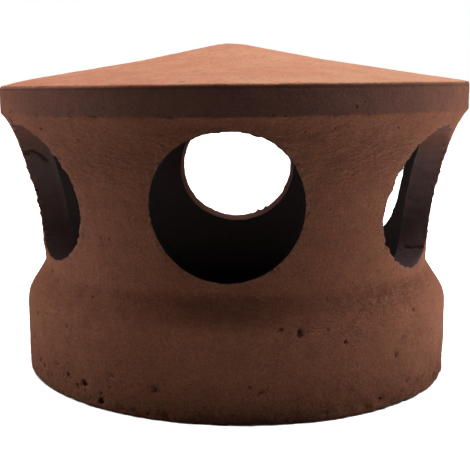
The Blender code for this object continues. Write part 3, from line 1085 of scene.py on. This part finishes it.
def terracotta():
    material = bpy.data.materials.new("fired_terracotta")
    material.use_nodes = True
    tree = material.node_tree
    shader = tree.nodes["Principled BSDF"]
    clay = Clay(tree)

    # Clay tones: broad clouds, blotches, faint turning streaks and grain
    streaks = noise_field(tree, stretched(tree, clay.place, STREAK_SCALE), *STREAK_NOISE)
    clay.paint("cloud", clay.pattern("cloud"))
    clay.paint("blotch", clay.pattern("blotch"))
    clay.paint("streak", ramp(tree, streaks, *STREAK_RANGE))
    clay.paint("pale speck", clay.pattern("pale speck"))
    clay.paint("dark speck", clay.pattern("dark speck"))
    grain = clay.pattern("grain")
    shade = add_node(tree, "ShaderNodeCombineColor")
    for channel in ("Red", "Green", "Blue"):
        tree.links.new(grain, shade.inputs[channel])
    clay.colour = blend_colours(tree, 1.0, clay.colour, shade.outputs["Color"], "MULTIPLY")

    # The clay is darker towards the bottom, in patches and specks
    split = add_node(tree, "ShaderNodeSeparateXYZ")
    tree.links.new(clay.place, split.inputs["Vector"])
    height = split.outputs["Z"]
    clay.paint("foot patch", ramp(tree, height, 0.0, FOOT_PATCHES_UP_TO, 1, 0), clay.pattern("foot patch"))
    clay.paint("foot speck", ramp(tree, height, *FOOT_SPECKS_FADE, 1, 0), clay.pattern("foot speck"))

    # The cap is paler at one side as painted light, with pale clouds, and the clay is crinkled where it
    # was turned, with pale painted highlights on the crinkles
    on_cap = ramp(tree, height, RIM_HEIGHT - CAP_EDGE_FADE, RIM_HEIGHT + CAP_EDGE_FADE)
    clay.paint("painted cap light", attribute(tree, "painted_cap_light"))
    clay.paint("cap cloud", clay.pattern("cap cloud"), on_cap)
    clay.paint("cap freckle", clay.pattern("cap freckle"), on_cap)
    wrinkles = noise_field(tree, stretched(tree, clay.place, CRINKLE_SCALE), *CRINKLE_NOISE)
    crinkle_and_highlight = calculated(tree, "MULTIPLY", wrinkles, attribute(tree, "crinkles_and_highlights"))
    # Pale painted highlights on the crinkles, which are bumped as well
    clay.paint("crinkle_and_highlight", ramp(tree, crinkle_and_highlight, *CRINKLE_HIGHLIGHT_RANGE))

    # Cut faces get painted grey shade, the rim band painted purple shade towards the front, and the inside
    # is dark
    clay.paint("band", attribute(tree, "band", REACH["band"]))
    clay.paint("cut", attribute(tree, "cut", REACH["cut"]))
    # Painted grey shade on the cut faces, strongest on the holes towards the front and weakest at each
    # hole's top
    clay.paint("grey cut", attribute(tree, "grey"), clay.pattern("mottle"))
    clay.paint("inner edge", attribute(tree, "inner_edge", REACH["inner_edge"]))
    clay.paint("inside", attribute(tree, "inside", REACH["inside"]))
    clay.paint("crumb", attribute(tree, "outer_edge"), clay.pattern("crumb"))
    # Near-black painted shade in the gaps of the crumbled outer edges
    clay.paint("gap_shade", attribute(tree, "outer_edge"), clay.pattern("gap_shade"))
    # Near-black painted shadow on the front hole's cut face, and a little on two others
    clay.paint("soot", attribute(tree, "soot"))

    pinhole = pinholes(tree, clay)
    clay.paint("pinhole", pinhole, attribute(tree, "outside", REACH["pinhole"]))
    # Painted shade in the pits, with some dirt, and the painted shadow line under the rim
    clay.paint("pit", attribute(tree, "pit", REACH["pit"]))
    tree.links.new(clay.colour, shader.inputs["Base Color"])

    dullness = calculated(tree, "MAXIMUM", clay.pattern("dullness"), attribute(tree, "soot"))
    tree.links.new(dullness, shader.inputs["Roughness"])
    shader.inputs["Specular IOR Level"].default_value = SPECULAR
    normal = chained_bumps(tree, (
        (streaks, *STREAK_BUMP),
        (noise_field(tree, clay.place, *COARSE_NOISE), *COARSE_BUMP),
        (noise_field(tree, clay.place, *FINE_NOISE), *FINE_BUMP),
        (crinkle_and_highlight, *CRINKLE_BUMP),
        (pinhole, *PINHOLE_BUMP),
    ))
    tree.links.new(normal, shader.inputs["Normal"])
    return material


FLOOR_HALF = 3.0
FLOOR_WHITE = (0.9, 0.9, 0.9, 1)


def pale_floor():
    """A pale floor that is seen but lights nothing: the low cards stand for its bounce."""
    half = FLOOR_HALF
    corners = [(-half, -half, 0), (half, -half, 0), (half, half, 0), (-half, half, 0)]
    mesh = bpy.data.meshes.new("floor")
    mesh.from_pydata(corners, [], [(0, 1, 2, 3)])
    floor = add_object("floor", mesh)
    material = bpy.data.materials.new("pale_floor")
    material.use_nodes = True
    shader = material.node_tree.nodes["Principled BSDF"]
    shader.inputs["Base Color"].default_value = FLOOR_WHITE
    shader.inputs["Roughness"].default_value = 1.0
    shader.inputs["Specular IOR Level"].default_value = 0.0
    mesh.materials.append(material)
    floor.visible_diffuse = False
    floor.visible_glossy = False
    return floor


# Studio lights: name, place, what it faces, width, height and power in watts

AIM = (0, 0, 0.09)
UP = 1.0
CARD_HEIGHT = 0.002
LIGHTS = (
    ("top", (0, 0, 1.1), (0, 0, 0), 0.5, 0.5, 10.0),
    ("top_back", (0, 0.6, 1.0), AIM, 1.2, 0.5, 2.8),
    ("top_right", (0.7, 0.1, 1.0), AIM, 0.5, 0.7, 2.5),
    ("top_left", (-0.7, 0.1, 1.0), AIM, 0.5, 0.7, 1.0),
    ("side_left", (-0.7, 0.16, 0.12), AIM, 0.25, 0.25, 0.20),
    ("side_right", (0.7, 0.16, 0.12), AIM, 0.25, 0.25, 0.16),
    ("low_left", (-0.6, 0, 0.05), AIM, 0.4, 0.1, 0.60),
    ("low_right", (0.6, 0, 0.05), AIM, 0.4, 0.1, 0.66),
    ("card_front", (0, -0.17, CARD_HEIGHT), (0, -0.17, UP), 0.3, 0.08, 0.034),
    ("card_left", (-0.2, -0.02, CARD_HEIGHT), (-0.2, -0.02, UP), 0.14, 0.3, 0.075),
    ("card_right", (0.2, -0.02, CARD_HEIGHT), (0.2, -0.02, UP), 0.14, 0.3, 0.18),
    ("card_inside", (0, 0, 0.02), (0, 0, UP), 0.08, 0.08, 0.009),
    ("card_foot", (0, -0.135, 0.005), (0, 0, 0.005), 0.2, 0.008, 0.0011),
)
WARM_LIGHTS = ("low_left", "low_right")
WARMTH = (1.0, 0.94, 0.86)
AMBIENT = 0.001  # the white surroundings are seen, and light the lantern only this much
FLOOR_WASH = 7.0
WASH_SPREAD = math.radians(50)


def soft_light(name, place, aim, width, height, power):
    lamp = bpy.data.lights.new(name, "AREA")
    lamp.shape = "RECTANGLE"
    lamp.size, lamp.size_y = width, height
    lamp.energy = power
    if name in WARM_LIGHTS:
        lamp.color = WARMTH
    holder = add_object(name, lamp)
    holder.location = place
    holder.rotation_euler = (Vector(aim) - Vector(place)).to_track_quat("-Z", "Y").to_euler()
    holder.visible_camera = False


def wash_the_floor(floor):
    """A broad sun that lights the floor only, so that it comes out pale under the soft lights."""
    sun = bpy.data.lights.new("floor_wash", "SUN")
    sun.energy = FLOOR_WASH
    sun.angle = WASH_SPREAD
    wash = add_object("floor_wash", sun)
    washed = bpy.data.collections.new("washed")
    washed.objects.link(floor)
    wash.light_linking.receiver_collection = washed


def light_the_scene(floor):
    world = bpy.data.worlds.new("studio")
    bpy.context.scene.world = world
    world.use_nodes = True
    tree = world.node_tree
    background = tree.nodes["Background"]
    background.inputs["Color"].default_value = (1, 1, 1, 1)
    seen = add_node(tree, "ShaderNodeLightPath").outputs["Is Camera Ray"]
    tree.links.new(ramp(tree, seen, 0, 1, AMBIENT, 1.0), background.inputs["Strength"])
    for light in LIGHTS:
        soft_light(*light)
    wash_the_floor(floor)


# The camera, fitted to the outline of the lantern in the photograph

CAMERA_DISTANCE = 440.1 * MM
CAMERA_ASIDE = 1.08 * MM
CAMERA_HEIGHT = 134.0 * MM
CAMERA_DIP = math.radians(9.56)
CAMERA_ROLL = math.radians(0.61)
FOCAL_PIXELS = 898.0
FRAME_PIXELS = 470.0
SENSOR = 36.0
CLIP_START = 10 * MM


def place_camera():
    lens = bpy.data.cameras.new("camera")
    lens.sensor_width = SENSOR
    lens.lens = FOCAL_PIXELS / FRAME_PIXELS * SENSOR
    lens.clip_start = CLIP_START
    camera = add_object("camera", lens)
    camera.matrix_world = (
        Matrix.Translation((CAMERA_ASIDE, -CAMERA_DISTANCE, CAMERA_HEIGHT))
        @ Matrix.Rotation(math.pi / 2 - CAMERA_DIP, 4, "X")
        @ Matrix.Rotation(CAMERA_ROLL, 4, "Z")
    )
    bpy.context.scene.camera = camera


bpy.context.scene.view_settings.view_transform = "Standard"
body = lantern()
body.data.materials.append(terracotta())
light_the_scene(pale_floor())
place_camera()
